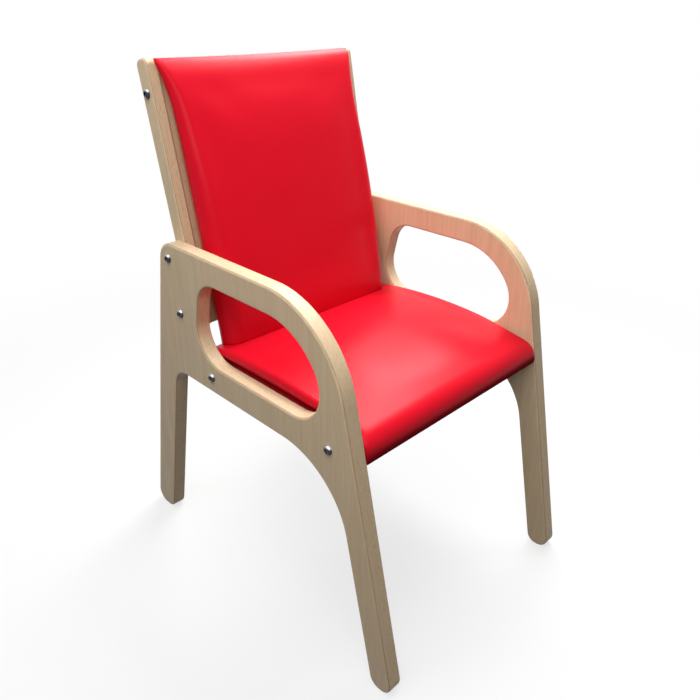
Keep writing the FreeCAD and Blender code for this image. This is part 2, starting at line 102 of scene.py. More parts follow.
# Seat cushion: shares of the block, and lengths in metres
SEAT_ROLL_FROM = 0.88  # share of the half width where the side roll begins
SEAT_SIDE_CROWN = 0.5  # share of the crown that the sides reach
SEAT_ROLL_CROWN = 0.85  # share of the crown where the side roll begins
SEAT_WALL = 0.003  # height over the board from which the shares of the crown count
SEAT_NOSE_HEIGHT = 0.42  # share of the front's height where the nose lies
SEAT_REAR_ROLL_TO = 0.1  # share of the depth that the rear roll takes
SEAT_GROOVE_FULL = (0.003, 0.004)  # heights over the board between which the groove has its full depth
SEAT_GROOVE_ENDS = (0.85, 0.99)  # shares of the way to the front where it runs out
SEAT_DRAW_RISE = 0.014  # height over the board where the corner draw is full
SEAT_DRAW_BEGINS = (0.7, 0.98)  # shares of the way to the front where it comes in
SEAT_SLACK_REAR = (0.12, 0.45)  # the slack comes in from the rear, runs out to the front
SEAT_SLACK_FRONT = (0.6, 0.98)
SEAT_SLACK_SIDE = (0.02, 0.2)  # and comes in from each side
SEAT_HELD_BELOW = 0.3  # heights in the block under which the walls and the front are held
SEAT_HELD_FRONT_BELOW = -0.4
SEAT_HELD_BEHIND = 0.93  # depth in the block behind which the top is held

# Back cushion from its lower end to its top: height, flare to the sides and depth, as shares
BACK_ROWS = [
    (0.0, 0.05, 0.9),
    (0.06, 0.0, 0.96),
    (0.24, 0.0, 0.98),
    (0.48, 0.0, 0.9),
    (0.66, 0.02, 0.76),
    (0.8, 0.08, 0.58),
    (0.88, 0.25, 0.47),
    (0.94, 0.56, 0.37),
    (0.98, 0.86, 0.24),
    (1.0, 1.0, 0.09),
]
BACK_ROLL_FROM = 0.84  # share of the half width where the side roll begins
BACK_ROW_CROWDING = 1.5  # how much closer the rows of the mesh lie towards the top
BACK_DIP_FROM = 0.8  # share of the height where the dip of the top edge begins
BACK_SLACK_LOW = (0.02, 0.2)  # the slack comes in from the lower end, runs out to the top
BACK_SLACK_TOP = (0.6, 0.95)
BACK_SLACK_SIDE = (0.04, 0.3)  # and comes in from each side
BACK_HELD_BEHIND = -0.3  # depth in the block behind which the cover is held

# Swelling of the covers
CLOTH = {
    "quality": 8,
    "mass": 0.4,
    "tension_stiffness": 40.0,
    "compression_stiffness": 40.0,
    "shear_stiffness": 20.0,
    "bending_stiffness": 4.0,
    "use_pressure": True,
    "uniform_pressure_force": 4.0,
}
CLOTH_FRAMES = 20
SMOOTHING_PASSES = 25
SMOOTHING_KEEPS = 0.4  # share of its own lift that a point keeps in a pass

# Noise patterns: cells per metre, detail, roughness and distortion
FINE_GRAIN = (650.0, 5.0, 0.6, 0.4)
BROAD_GRAIN = (90.0, 3.0, 0.55, 0.6)
PORES = (2200.0, 2.0, 0.5)
CLOUDS = (7.0, 2.0, 0.5)
FLECKS = (150.0, 4.0, 0.65)
BOARD_DUST = (900.0, 3.0, 0.5)
DOWEL_STREAKS = (1100.0, 4.0, 0.6)
VINYL_DRIFT = (11.0, 3.0, 0.55)
TOOL_MARKS = (2600.0, 2.0, 0.6)
PLATING_PATCHES = (240.0, 3.0, 0.55)
LINING_FIBRES = (1500.0, 5.0, 0.7, 1.2)

# Ramps: from, to, and the values there where they aren't 0 and 1
GRAIN_RAMP = (0.3, 0.75)
PORE_RAMP = (0.62, 0.74)
CLOUD_RAMP = (0.35, 0.7, 0.0, 0.22)
END_GRAIN_RAMP = (0.35, 0.95)
EDGE_RAMP = (0.4, 0.85, 0.45, 0.0)
FLECK_RAMP = (0.5, 0.7)
GLUE_RAMP = (0.38, 0.50)
FACE_LINE_RAMP = (0.0002, 0.0009, 0.75, 0.0)
DRIFT_RAMP = (0.2, 0.8, 0.0, 0.35)
PEBBLE_RAMP = (0.25, 0.7, 0.0, 0.25)
WRINKLE_RAMP = (0.0, 0.10)
PATCH_RAMP = (0.35, 0.7)
# RIM_RAMP: how far a bolt face turns up before its painted highlight comes in
RIM_RAMP = (0.3, 0.8)
DOT_RAMP = (0.15, 0.4)
FLOOR_RAMP = (0.5, 1.7, 0.7, 1.0)
ROOM_RAMP = (-0.1, 0.9, 0.12, 1.45)

# Bumps: strength, and depth in metres
PLYWOOD_BUMP = (0.25, 0.00025)
BOARD_BUMP = (0.3, 0.0003)
DOWEL_BUMP = (0.3, 0.0003)
VINYL_BUMP = (0.16, 0.00022)
STEEL_BUMP = (0.12, 0.0001)
LINING_BUMP = (0.35, 0.0002)

# Plywood, board and dowels
FACE_VENEER = 0.0016  # depth of the first glue line under each face
SHEET_STEP = 0.173  # shift of the figure from one sheet to the next
GRAIN_STRETCH = 0.035  # scale of the figure along the grain
FLECK_SQUEEZE = 4.0  # scale of the edge flecks across the sheets
FINE_SHARE = 0.45  # shares are how strongly a pattern tints the wood
BROAD_SHARE = 0.4
PORE_SHARE = 0.35
END_GRAIN_SHARE = 0.4
GLUE_SHARE = 0.7
PORE_HEIGHT = -0.8  # heights are against the fine grain's
END_GRAIN_HEIGHT = -0.2
LACQUER_SPREAD = 0.16  # spread of the roughness over the fine grain
LACQUER = {"Specular IOR Level": 0.2, "Coat Weight": 0.05, "Coat Roughness": 0.35}
BOARD_CHIPS = 260.0  # chips per metre
BOARD_DUST_SHARE = 0.4
DOWEL_STRETCH = (0.05, 1.0, 1.0)
BOARD_ROUGHNESS = 0.65
DOWEL_ROUGHNESS = 0.55
RAW_SPREAD = 0.2  # spread of the roughness of the board, dowels and linings

# Vinyl
WOBBLE_SCALE = 420.0
WOBBLE_DETAIL = 2.0
WOBBLE = 0.0009  # share of the wobble that bends the pebbles
PEBBLE_RANDOMNESS = 0.9
WRINKLES_PER_PEBBLE = 0.28
WRINKLE_HEIGHT = 0.35
PEBBLE_ROUGHNESS = 0.08
DRIFT_ROUGHNESS = 0.04
VINYL_POLISH = 0.05  # taken off the roughness, which the two patterns add to
VINYL_SHINE = {"Specular IOR Level": 0.09}
HEM_FULL = 0.004  # heights over the seat's base up to which the painted hem shade is full, and where it ends
HEM_END = 0.027
SIDE_HEM_FULL = 0.005  # the same in from the seat's sides
SIDE_HEM_END = 0.010
SIDE_HEM_HEIGHTS = (0.008, 0.016)  # heights over the board between which the side hem runs out
SIDE_HEM_FRONT = (0.02, 0.05)  # distances behind the nose between which it comes in
HEM_SHARE = 0.8

# Steel and lining
BOLT_MARKS = (0.2, 1.0, 1.0)
ZINC_MARKS = (1.0, 1.0, 0.3)
DULL_PLATING = 0.72
MARK_ROUGHNESS = 0.14
PATCH_ROUGHNESS = 0.10
STEEL_POLISH = 0.1  # taken off the roughness, which the two patterns add to
LINING_DOTS = 620.0  # dots per metre
LINING_DOT_RANDOMNESS = 0.15
LINING_ROUGHNESS = 0.75
LINING_SHEEN = 0.15
FIBRE_HEIGHT = 0.6


# Settings

def length(name, default, description):
    return FloatProperty(name=name, description=description, default=default, min=0.0, unit="LENGTH")


def power(name, default, description):
    return FloatProperty(name=name, description=description, default=default, min=0.0, unit="POWER")


def share(name, default, description):
    return FloatProperty(
        name=name, description=description, default=default, min=0.0, max=1.0, subtype="FACTOR"
    )


def colour(name, default, description):
    return FloatVectorProperty(
        name=name, description=description, default=default, size=3, min=0.0, max=1.0, subtype="COLOR"
    )


def veneers(name, default, description):
    return IntProperty(name=name, description=description, default=default, min=3)


class WoodSettings(bpy.types.PropertyGroup):
    pale: colour("Pale birch", (0.76, 0.60, 0.395), "Light early wood of the veneers")
    dark: colour("Dark birch", (0.60, 0.44, 0.27), "Streaks and end grain of the veneers")
    warm: colour("Warm birch", (0.70, 0.50, 0.33), "Broad warmer clouds in the veneers")
    glue: colour("Glue line", (0.30, 0.19, 0.11), "Thin lines between the sheets of the plywood")
    frame_sheets: veneers("Frame sheets", 17, "Veneers in a side frame")
    post_sheets: veneers("Post sheets", 13, "Veneers in a back post")
    cleat_sheets: veneers("Cleat sheets", 9, "Veneers in a cleat")
    rail_sheets: veneers("Rail sheets", 17, "Veneers in a back rail")
    # painted shade: the cleats, recessed beside the back cushion, are darkened towards the glue colour
    cleat_shade: share("Cleat stain", 0.35, "How far the cleats are darkened towards the glue's colour")
    roughness: share("Lacquer roughness", 0.42, "Roughness of the satin lacquer")


class VinylSettings(bpy.types.PropertyGroup):
    colour: colour("Vinyl", (0.68, 0.006, 0.021), "Red of the cushion covers")
    shade: colour("Vinyl shade", (0.64, 0.004, 0.014), "Deeper red in the colour's slow variation")
    # painted shade: dark red laid on the seat's hem where it turns under and low on its sides
    hem: colour("Vinyl hem", (0.16, 0.002, 0.006), "Dark red of the worn hem under the seat's rim")
    grain: length("Grain", 0.0011, "Size of the pebbles in the embossed grain")
    roughness: share("Roughness", 0.31, "Roughness of the vinyl's surface")


class MetalSettings(bpy.types.PropertyGroup):
    bolt: colour("Bolt", (0.05, 0.052, 0.065), "Button-head bolts")
    # painted highlight: this colour is laid on the upper part of the bolt heads
    rim: colour("Bolt rim", (0.56, 0.56, 0.58), "Bright upper rim of the bolt heads")
    zinc: colour("Zinc", (0.62, 0.61, 0.58), "Nuts, screws and staples")
    roughness: share("Roughness", 0.28, "Roughness of the plated steel")


class LiningSettings(bpy.types.PropertyGroup):
    felt: colour("Felt", (0.012, 0.012, 0.013), "Black of the linings")
    fibre: colour("Fibre", (0.045, 0.045, 0.048), "Paler loose fibres of the linings")


class SeatSettings(bpy.types.PropertyGroup):
    side_roll: length("Side roll", 0.009, "Width of the rolled side edges")
    front_roll: length("Front roll", 0.0225, "Depth of the rolled front edge from the nose to the flat top")
    nose: length("Nose", 0.003, "How far the nose stands in front of the foot of the front edge")
    rear_drop: length("Rear drop", 0.020, "Fall of the top from the crown to the rear edge")
    rear_roll: length("Rear roll", 0.0125, "Fall of the rolled rear edge behind the back cushion")
    front_drop: length("Front drop", 0.020, "Fall of the top from the crown to the front roll")
    corner_inset: length("Corner inset", 0.012, "How far the nose draws back towards the corners")
    corner_draw: length("Corner draw", 0.005, "How far the top draws in at the front corners")
    groove: length("Groove", 0.006, "Depth of the dark groove under the side rolls")
    slack: length("Slack", 0.005, "How much lower the cover starts before it swells")
    swell: length("Swell", 0.009, "Most that a point of the cover may move as it swells")


class BackSettings(bpy.types.PropertyGroup):
    depth: length("Depth", 0.050, "Full depth of the padding")
    top: length("Top", 0.3635, "Height of the top corners along the posts, above the lower bolt")
    dip: length("Dip", 0.002, "How much lower the top edge is in its middle")
    drop: length("Drop", BACK_DROP + BACK_HANG, "Fall along the posts from the lower bolt to the lower edge")
    half_width: length("Half width", CLEAT_LOW.x - BACK_SIDE_GAP, "Half of the width between the cleats")
    flare: length("Flare", 0.018, "How much each top corner stands out past the lower width")
    crown: length("Crown", 0.004, "Extra depth in the middle")
    bulge: length("Bulge", 0.0115, "How far the rolled sides stand out past the rear edge")
    shift: length("Shift", 0.0018, "How much nearer the cushion sits to the right post")
    slack: length("Slack", 0.005, "How much flatter the cover starts before it swells")
    swell: length("Swell", 0.009, "Most that a point of the cover may move as it swells")
    recline: FloatProperty(name="Recline", description="Lean of the back", default=RECLINE, subtype="ANGLE")


class StageSettings(bpy.types.PropertyGroup):
    floor: colour("Floor", (0.80, 0.80, 0.80), "Plain pale floor")
    bounce: colour("Floor bounce", (0.06, 0.058, 0.056), "Floor as it throws light up at the chair")
    tint: colour("Room tint", (1.0, 0.985, 0.96), "Colour of the even light")
    room: FloatProperty(name="Room light", description="Strength of the even light", default=0.115, min=0.0)
    top: power("Top light", 18.0, "Soft box above the chair's right arm")
    side: power("Side light", 16.0, "Soft box high above the chair's left arm")
    rear: power("Rear light", 26.0, "Soft box behind the chair, on its left")
    front: power("Front light", 7.2, "Soft box in front of the chair, on its right")


# Shader helpers

def new_material(name):
    made = bpy.data.materials.new(name)
    made.use_nodes = True
    made.node_tree.nodes.clear()
    return made, made.node_tree


def node(tree, kind, values=None, **settings):
    """Adds a node; values maps an input's name or number to a value or to another node's socket."""
    made = tree.nodes.new("ShaderNode" + kind)
    for key, value in settings.items():
        setattr(made, key, value)
    for key, value in (values or {}).items():
        if isinstance(value, bpy.types.NodeSocket):
            tree.links.new(value, made.inputs[key])
        else:
            made.inputs[key].default_value = value
    return made


def maths(tree, operation, *values):
    return node(tree, "Math", dict(enumerate(values)), operation=operation).outputs[0]


def parts(tree, vector):
    """The X, Y and Z of a vector."""
    return node(tree, "SeparateXYZ", {0: vector}).outputs


def mapped(tree, vector, turn=(0, 0, 0), scale=(1, 1, 1), kind="POINT"):
    """Turns and scales a place or, where the kind is NORMAL, a direction."""
    values = {"Vector": vector, "Rotation": turn, "Scale": scale}
    return node(tree, "Mapping", values, vector_type=kind).outputs[0]


def ramped(tree, value, low, high, out_low=0.0, out_high=1.0):
    """Smooth step of a value from low to high."""
    ends = {0: value, 1: low, 2: high, 3: out_low, 4: out_high}
    return node(tree, "MapRange", ends, interpolation_type="SMOOTHSTEP").outputs[0]


def layered(tree, base, *layers):
    """A base value plus each layer's pattern times its weight."""
    total = base
    for pattern, weight in layers:
        total = maths(tree, "MULTIPLY_ADD", pattern, weight, total)
    return total


def blended(tree, amount, first, second):
    """Mixes two colours, each a socket or three numbers."""
    ends = [tone if isinstance(tone, bpy.types.NodeSocket) else (*tone, 1.0) for tone in (first, second)]
    return node(tree, "Mix", {0: amount, 6: ends[0], 7: ends[1]}, data_type="RGBA").outputs[2]


def tinted(tree, tone, pattern, strength, tint):
    """Lays a tint over a tone where the pattern is."""
    return blended(tree, maths(tree, "MULTIPLY", pattern, strength), tone, tint)


def noise(tree, place, scale, detail, roughness, distortion=0.0):
    values = {
        "Vector": place, "Scale": scale, "Detail": detail, "Roughness": roughness, "Distortion": distortion,
    }
    return node(tree, "TexNoise", values).outputs[0]


def finished(tree, surface, height, strength, depth):
    """Joins a Principled surface, its bump and the output."""
    bump = node(tree, "Bump", {"Strength": strength, "Distance": depth, "Height": height})
    tree.links.new(bump.outputs[0], surface.inputs["Normal"])
    node(tree, "OutputMaterial", {"Surface": surface.outputs[0]})


# Finishes

def along_grain(tree, across, along, beside, crossed):
    """A place drawn out along the grain, which lies along or, in the crossed sheets, beside."""
    stretched = []
    for along_scale, beside_scale in ((GRAIN_STRETCH, 1.0), (1.0, GRAIN_STRETCH)):
        stretched.append(node(tree, "CombineXYZ", {
            0: across,
            1: maths(tree, "MULTIPLY", beside, beside_scale),
            2: maths(tree, "MULTIPLY", along, along_scale),
        }).outputs[0])
    ends = {0: crossed, 4: stretched[0], 5: stretched[1]}
    return node(tree, "Mix", ends, data_type="VECTOR").outputs[1]


def plywood(name, inner, outer, sheets, lean=None, painted_shade=0.0):
    """Lacquered birch plywood as a solid: its sheets lie across X, or across a leaning Y for the rails."""
    wood = bpy.context.scene.chair_wood
    made, tree = new_material(name)
    place = node(tree, "TexCoord")
    at, facing = place.outputs["Object"], place.outputs["Normal"]
    if lean is not None:
        at = mapped(tree, at, turn=(lean, 0, 0))
        facing = mapped(tree, facing, turn=(lean, 0, 0), kind="NORMAL")
    x, y, z = parts(tree, at)
    x_end, y_end, z_end = [maths(tree, "ABSOLUTE", end) for end in parts(tree, facing)]
    if lean is None:
        across, along, beside = maths(tree, "ABSOLUTE", x), z, y
        across_end, along_end, beside_end = x_end, z_end, y_end
        squeeze = (FLECK_SQUEEZE, 1, 1)
    else:
        across, along, beside = y, x, z
        across_end, along_end, beside_end = y_end, x_end, z_end
        squeeze = (1, FLECK_SQUEEZE, 1)

    # Sheets, counted from the inner face
    from_inner = maths(tree, "SUBTRACT", across, inner)
    from_outer = maths(tree, "SUBTRACT", outer, across)
    depth = maths(tree, "MULTIPLY_ADD", from_inner, (sheets - 1) / (outer - inner), 0.5)
    sheet = maths(tree, "FLOOR", depth)
    crossed = maths(tree, "MODULO", sheet, 2.0)
    off_middle = maths(tree, "ABSOLUTE", maths(tree, "SUBTRACT", maths(tree, "FRACT", depth), 0.5))
    shifted = maths(tree, "MULTIPLY_ADD", sheet, SHEET_STEP, across)
    grained = along_grain(tree, shifted, along, beside, crossed)

    # Patterns of the faces and of the cut edges
    fine = noise(tree, grained, *FINE_GRAIN)
    broad = noise(tree, grained, *BROAD_GRAIN)
    fine_streaks, broad_streaks = [ramped(tree, streaks, *GRAIN_RAMP) for streaks in (fine, broad)]
    pores = ramped(tree, noise(tree, grained, *PORES), *PORE_RAMP)
    clouds = ramped(tree, noise(tree, at, *CLOUDS), *CLOUD_RAMP)
    cut_across = node(tree, "Mix", {0: crossed, 2: along_end, 3: beside_end}).outputs[0]
    end_grain = ramped(tree, cut_across, *END_GRAIN_RAMP)
    edge = ramped(tree, across_end, *EDGE_RAMP)
    flecks = ramped(tree, noise(tree, mapped(tree, at, scale=squeeze), *FLECKS), *FLECK_RAMP)
    glue_lines = ramped(tree, off_middle, *GLUE_RAMP)
    from_face = maths(tree, "MINIMUM", from_inner, from_outer)
    off_face_line = maths(tree, "ABSOLUTE", maths(tree, "SUBTRACT", from_face, FACE_VENEER))
    face_line = ramped(tree, off_face_line, *FACE_LINE_RAMP)

    figure = layered(tree, 0.0, (broad_streaks, BROAD_SHARE), (fine_streaks, FINE_SHARE))
    tone = blended(tree, figure, wood.pale, wood.dark)
    tone = tinted(tree, tone, pores, PORE_SHARE, wood.dark)
    tone = tinted(tree, tone, end_grain, END_GRAIN_SHARE, wood.dark)
    tone = tinted(tree, tone, flecks, edge, wood.glue)
    tone = tinted(tree, tone, glue_lines, GLUE_SHARE, wood.glue)
    tone = blended(tree, face_line, tone, wood.glue)
    tone = blended(tree, clouds, tone, wood.warm)
    # painted shade: the cleats are darkened towards the glue colour
    tone = blended(tree, painted_shade, tone, wood.glue)
    rough = layered(tree, wood.roughness - LACQUER_SPREAD / 2, (fine, LACQUER_SPREAD))
    surface = node(tree, "BsdfPrincipled", {"Base Color": tone, "Roughness": rough, **LACQUER})
    height = layered(tree, fine, (end_grain, END_GRAIN_HEIGHT), (pores, PORE_HEIGHT))
    finished(tree, surface, height, *PLYWOOD_BUMP)
    return made


def raw_board(name):
    """Pale pressed board inside the cushions."""
    wood = bpy.context.scene.chair_wood
    made, tree = new_material(name)
    at = node(tree, "TexCoord").outputs["Object"]
    chips = node(tree, "TexVoronoi", {"Vector": at, "Scale": BOARD_CHIPS}).outputs["Color"]
    chip_tone = node(tree, "SeparateColor", {0: chips}).outputs[0]
    dust = noise(tree, at, *BOARD_DUST)
    tone = blended(tree, chip_tone, wood.pale, wood.dark)
    tone = tinted(tree, tone, dust, BOARD_DUST_SHARE, wood.glue)
    rough = layered(tree, BOARD_ROUGHNESS, (dust, RAW_SPREAD))
    surface = node(tree, "BsdfPrincipled", {"Base Color": tone, "Roughness": rough})
    finished(tree, surface, chip_tone, *BOARD_BUMP)
    return made


def turned_dowel(name):
    """Beech dowel with the grain along X."""
    wood = bpy.context.scene.chair_wood
    made, tree = new_material(name)
    at = node(tree, "TexCoord").outputs["Object"]
    streaks = noise(tree, mapped(tree, at, scale=DOWEL_STRETCH), *DOWEL_STREAKS)
    tone = blended(tree, streaks, wood.pale, wood.dark)
    rough = layered(tree, DOWEL_ROUGHNESS, (streaks, RAW_SPREAD))
    surface = node(tree, "BsdfPrincipled", {"Base Color": tone, "Roughness": rough})
    finished(tree, surface, streaks, *DOWEL_BUMP)
    return made


def hem_shade_mask(tree, at):
    """1 where shade is painted on the hem under the seat and low on its sides, 0 elsewhere."""
    x, y, z = parts(tree, at)
    under = ramped(tree, z, SEAT_LOW.z + HEM_FULL, SEAT_LOW.z + HEM_END, 1.0, 0.0)
    out = maths(tree, "ABSOLUTE", x)
    beside = ramped(tree, out, SEAT_HIGH.x - SIDE_HEM_END, SEAT_HIGH.x - SIDE_HEM_FULL)
    low = ramped(tree, z, *(SEAT_BOARD_TOP + height for height in SIDE_HEM_HEIGHTS), 1.0, 0.0)
    behind_nose = ramped(tree, y, *(SEAT_LOW.y + distance for distance in SIDE_HEM_FRONT))
    beside = maths(tree, "MULTIPLY", maths(tree, "MULTIPLY", beside, low), behind_nose)
    return maths(tree, "MAXIMUM", under, beside)


def red_vinyl(name, hem=False):
    """Embossed upholstery vinyl: fine pebbles, faint wrinkles, a slow shift of the red and painted hem shade.
    """
    vinyl = bpy.context.scene.chair_vinyl
    made, tree = new_material(name)
    at = node(tree, "TexCoord").outputs["Object"]
    drift = noise(tree, at, *VINYL_DRIFT)
    waves = {"Vector": at, "Scale": WOBBLE_SCALE, "Detail": WOBBLE_DETAIL}
    wobble = node(tree, "TexNoise", waves).outputs["Color"]
    bent = node(tree, "Mix", {0: WOBBLE, 4: at, 5: wobble}, data_type="VECTOR").outputs[1]
    cells = {"Vector": bent, "Scale": 1.0 / vinyl.grain, "Randomness": PEBBLE_RANDOMNESS}
    pebbles = node(tree, "TexVoronoi", cells, feature="SMOOTH_F1").outputs["Distance"]
    cells = {"Vector": bent, "Scale": WRINKLES_PER_PEBBLE / vinyl.grain}
    off_wrinkle = node(tree, "TexVoronoi", cells, feature="DISTANCE_TO_EDGE").outputs[0]
    between_wrinkles = ramped(tree, off_wrinkle, *WRINKLE_RAMP)
    tone = blended(tree, ramped(tree, drift, *DRIFT_RAMP), vinyl.colour, vinyl.shade)
    tone = blended(tree, ramped(tree, pebbles, *PEBBLE_RAMP), tone, vinyl.shade)
    rough = layered(
        tree, vinyl.roughness - VINYL_POLISH, (pebbles, PEBBLE_ROUGHNESS), (drift, DRIFT_ROUGHNESS)
    )
    if hem:
        # painted shade: the hem under the seat and low on its sides is darkened, and also made fully rough
        shaded = hem_shade_mask(tree, at)
        tone = tinted(tree, tone, shaded, HEM_SHARE, vinyl.hem)
        rough = maths(tree, "MAXIMUM", rough, shaded)
    surface = node(tree, "BsdfPrincipled", {"Base Color": tone, "Roughness": rough, **VINYL_SHINE})
    height = layered(tree, 0.0, (pebbles, -1.0), (between_wrinkles, WRINKLE_HEIGHT))
    finished(tree, surface, height, *VINYL_BUMP)
    return made


def plated_steel(name, tint, stretch, rim=None):
    """Plated steel with tool marks and duller patches, and a painted highlight on its upper rim if given."""
    metal = bpy.context.scene.chair_metal
    made, tree = new_material(name)
    place = node(tree, "TexCoord")
    at = place.outputs["Object"]
    marks = noise(tree, mapped(tree, at, scale=stretch), *TOOL_MARKS)
    patches = noise(tree, at, *PLATING_PATCHES)
    dull = [DULL_PLATING * part for part in tint]
    tone = blended(tree, ramped(tree, patches, *PATCH_RAMP), tint, dull)
    # painted highlight: faces turned upwards are blended towards the bright rim colour
    if rim is not None:
        facing_up = parts(tree, place.outputs["Normal"])[2]
        tone = blended(tree, ramped(tree, facing_up, *RIM_RAMP), tone, rim)
    rough = layered(
        tree, metal.roughness - STEEL_POLISH, (patches, PATCH_ROUGHNESS), (marks, MARK_ROUGHNESS)
    )
    surface = node(tree, "BsdfPrincipled", {"Base Color": tone, "Metallic": 1.0, "Roughness": rough})
    finished(tree, surface, marks, *STEEL_BUMP)
    return made


def felt_lining(name):
    """Black non-woven dust cover with pressed dots and loose fibres."""
    lining = bpy.context.scene.chair_lining
    made, tree = new_material(name)
    at = node(tree, "TexCoord").outputs["Object"]
    fibres = noise(tree, at, *LINING_FIBRES)
    cells = {"Vector": at, "Scale": LINING_DOTS, "Randomness": LINING_DOT_RANDOMNESS}
    dots = ramped(tree, node(tree, "TexVoronoi", cells).outputs["Distance"], *DOT_RAMP)
    tone = blended(tree, fibres, lining.felt, lining.fibre)
    rough = layered(tree, LINING_ROUGHNESS, (fibres, RAW_SPREAD))
    surface = node(
        tree, "BsdfPrincipled", {"Base Color": tone, "Roughness": rough, "Sheen Weight": LINING_SHEEN}
    )
    finished(tree, surface, layered(tree, dots, (fibres, FIBRE_HEIGHT)), *LINING_BUMP)
    return made


def dress(material, *names):
    """Gives CAD nodes their material."""
    for name in names:
        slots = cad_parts[name].data.materials
        slots.clear()
        slots.append(material)


# Cushions

def eased(value, low, high):
    """Smooth step of a number from low to high."""
    t = min(1.0, max(0.0, (value - low) / (high - low)))
    return t * t * (3 - 2 * t)


def on_arc(start, middle, end, way):
    """Point on the arc through three points of one side view, where way runs from 0 to 1."""
    p, q, r = (complex(v.y, v.z) for v in (start, middle, end))
    ratio = (r - p) / (q - p)
    if abs(ratio.imag) < STRAIGHT:
        return start.lerp(end, way)
    centre = p - (p - q) * (ratio - abs(ratio) ** 2) / (2j * ratio.imag)
    first, turn = cmath.phase((q - centre) / (p - centre)), cmath.phase((r - centre) / (p - centre))
    if first * turn < 0:
        turn += math.copysign(2 * math.pi, first)
    spot = centre + (p - centre) * cmath.exp(1j * turn * way)
    return Vector((start.x, spot.real, spot.imag))


def cut_block(name, cuts, hard_sides):
    """A block two units wide, cut into a grid and creased along the edges round its hard sides."""
    bpy.ops.object.select_all(action="DESELECT")
    bpy.ops.mesh.primitive_cube_add(size=2.0, location=(0, 0, 0))
    block = bpy.context.object
    block.name = name
    bpy.ops.object.mode_set(mode="EDIT")
    bpy.ops.mesh.select_mode(type="EDGE")
    for axis, number in enumerate(cuts):
        bpy.ops.mesh.select_all(action="DESELECT")
        grid = bmesh.from_edit_mesh(block.data)
        for edge in grid.edges:
            way = edge.verts[0].co - edge.verts[1].co
            edge.select_set(abs(way[axis]) > ALONG_AXIS * way.length)
        bmesh.update_edit_mesh(block.data)
        bpy.ops.mesh.subdivide(number_cuts=number)
    bpy.ops.object.mode_set(mode="OBJECT")
    crease = block.data.attributes.new("crease_edge", "FLOAT", "EDGE").data
    sides = [(axis, sign) for axis in range(3) for sign in (-1, 1)]
    for edge in block.data.edges:
        ends = [block.data.vertices[n].co for n in edge.vertices]
        on = {(axis, sign) for axis, sign in sides if all(end[axis] * sign > ON_SIDE for end in ends)}
        crease[edge.index].value = HARD_EDGE if len(on) > 1 and on & hard_sides else 0.0
    return block


def seat_across(a, roll):
    """Place across the seat and the share of the crown reached there, for a from -1 to 1."""
    half = SEAT_HIGH.x
    t = abs(a)
    if t <= SEAT_ROLL_FROM:
        s = t / SEAT_ROLL_FROM
        x, rise = (half - roll) * s, 1 - (1 - SEAT_ROLL_CROWN) * s * s
    else:
        turn = (1 - t) / (1 - SEAT_ROLL_FROM) * math.pi / 2
        x = half - roll * (1 - math.cos(turn))
        rise = SEAT_SIDE_CROWN + (SEAT_ROLL_CROWN - SEAT_SIDE_CROWN) * math.sin(turn)
    return math.copysign(x, a), rise


def seat_point(seat, a, b, c):
    """Maps the block to the seat: a across, b from the nose to the rear, c from the base to the top."""
    x, rise = seat_across(a, seat.side_roll)
    front_way, high_way = (1 - b) / 2, (1 + c) / 2
    base, rear, tip = SEAT_LOW.z, SEAT_HIGH.y, SEAT_LOW.y
    wall = SEAT_BOARD_TOP + SEAT_WALL
    crown = SEAT_HIGH.z - SEAT_BOARD_TOP

    def up(full):
        return wall + (SEAT_BOARD_TOP + full - wall) * rise

    # Outline of this slice of the seat, seen from the side
    nose_y = tip + seat.corner_inset * (1 - rise)
    foot = Vector((x, tip + seat.nose, base))
    brow = Vector((x, nose_y + seat.front_roll, up(crown - seat.front_drop)))
    nose = Vector((x, nose_y, base + SEAT_NOSE_HEIGHT * (brow.z - base)))
    rear_low = Vector((x, rear, base))
    rear_top = Vector((x, rear, up(crown - seat.rear_drop)))
    middle = Vector((x, (rear + nose_y) / 2, up(crown)))
    top = on_arc(rear_top, middle, brow, front_way)
    low = rear_low.lerp(foot, front_way)
    front = on_arc(foot, nose, brow, high_way)
    behind = rear_low.lerp(rear_top, high_way)

    groove = 0.0
    if abs(a) > ON_SIDE:
        corners = low.lerp(rear_top.lerp(brow, front_way), high_way)
        point = low.lerp(top, high_way) + behind.lerp(front, front_way) - corners
        full_from, full_to = (SEAT_BOARD_TOP + height for height in SEAT_GROOVE_FULL)
        over_board, under_roll = eased(point.z, SEAT_BOARD_TOP, full_from), 1 - eased(point.z, full_to, top.z)
        groove = seat.groove * over_board * under_roll * (1 - eased(front_way, *SEAT_GROOVE_ENDS))
    elif c > ON_SIDE:
        fall = seat.slack * eased(front_way, *SEAT_SLACK_REAR) * (1 - eased(front_way, *SEAT_SLACK_FRONT))
        point = top - Vector((0, 0, fall * eased(1 - abs(a), *SEAT_SLACK_SIDE)))
    elif c < -ON_SIDE:
        point = low
    else:
        point = front if b < 0 else behind

    over_board = eased(point.z, SEAT_BOARD_TOP, SEAT_BOARD_TOP + SEAT_DRAW_RISE)
    draw = seat.corner_draw * over_board * eased(front_way, *SEAT_DRAW_BEGINS)
    point.x *= 1 - (draw + groove) / SEAT_HIGH.x
    rolled = max(0.0, 1 - front_way / SEAT_REAR_ROLL_TO)
    point.z -= seat.rear_roll * rise * (1 - math.sqrt(1 - rolled ** 2)) * high_way
    return point


def seat_held(a, b, c):
    """Whether the seat's cover can't swell there: low on its walls, at its sides and at its rear edge."""
    held_below = SEAT_HELD_BELOW if b > -ON_SIDE else SEAT_HELD_FRONT_BELOW
    return c < held_below or abs(a) > ON_SIDE or b > SEAT_HELD_BEHIND


